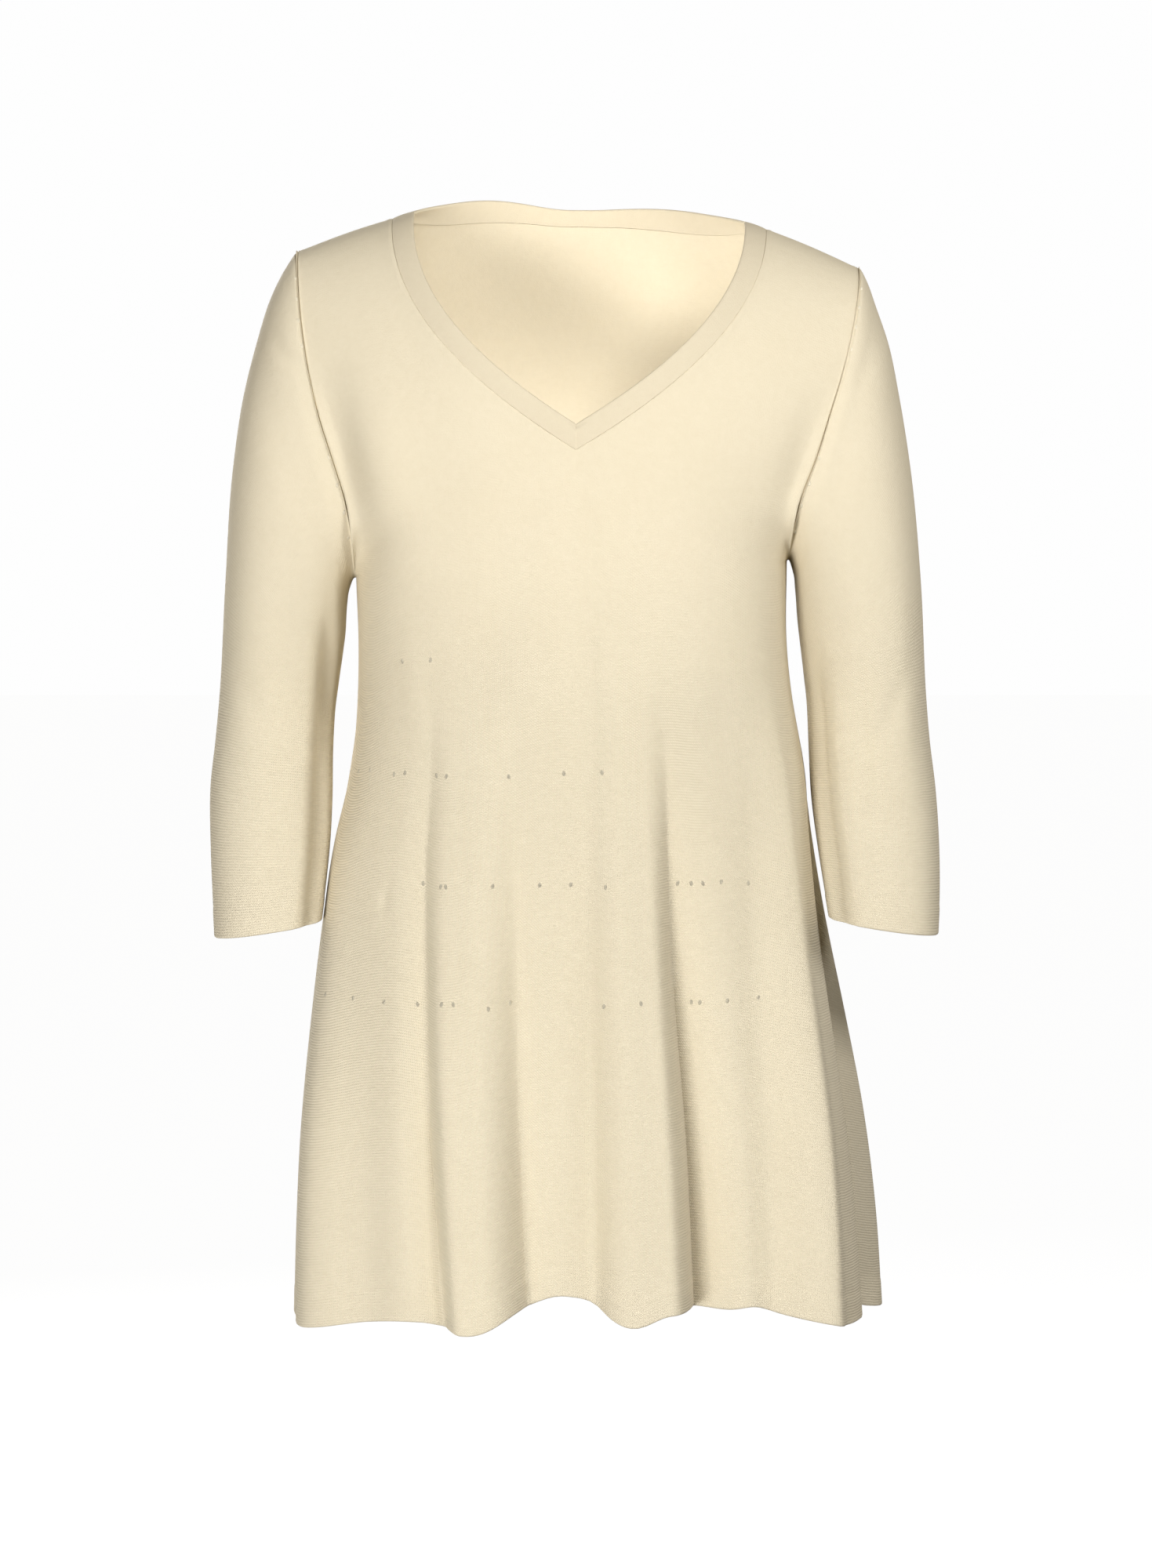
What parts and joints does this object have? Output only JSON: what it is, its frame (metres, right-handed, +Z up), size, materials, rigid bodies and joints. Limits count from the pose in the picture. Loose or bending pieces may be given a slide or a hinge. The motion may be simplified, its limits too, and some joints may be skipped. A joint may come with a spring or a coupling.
{
  "type": "tunic top",
  "caption": "Fine-knit tunic top with a banded V neck, three-quarter sleeves and a flared, fluted skirt, filled out as it is when worn.",
  "frame": {"origin": "middle of the shoulder line, halfway between the two neck points, where the wearer's shoulders carry the tunic", "axes": "+Z up, -Y to the front, +X to the wearer's left"},
  "size_m": [0.5073, 0.3087, 0.7862],
  "materials": {
    "front_panel": "fine matt cream knit",
    "back_panel": "fine matt cream knit",
    "sleeve_right": "fine matt cream knit",
    "sleeve_left": "fine matt cream knit",
    "neckband_front_right": "fine matt cream knit",
    "neckband_front_left": "fine matt cream knit",
    "neckband_back": "fine matt cream knit"
  },
  "bodies": {
    "root": {"front_panel": "front_panel", "back_panel": "back_panel", "sleeve_right": "sleeve_right", "sleeve_left": "sleeve_left", "neckband_front_right": "neckband_front_right", "neckband_front_left": "neckband_front_left", "neckband_back": "neckband_back"}
  },
  "joints": []
}
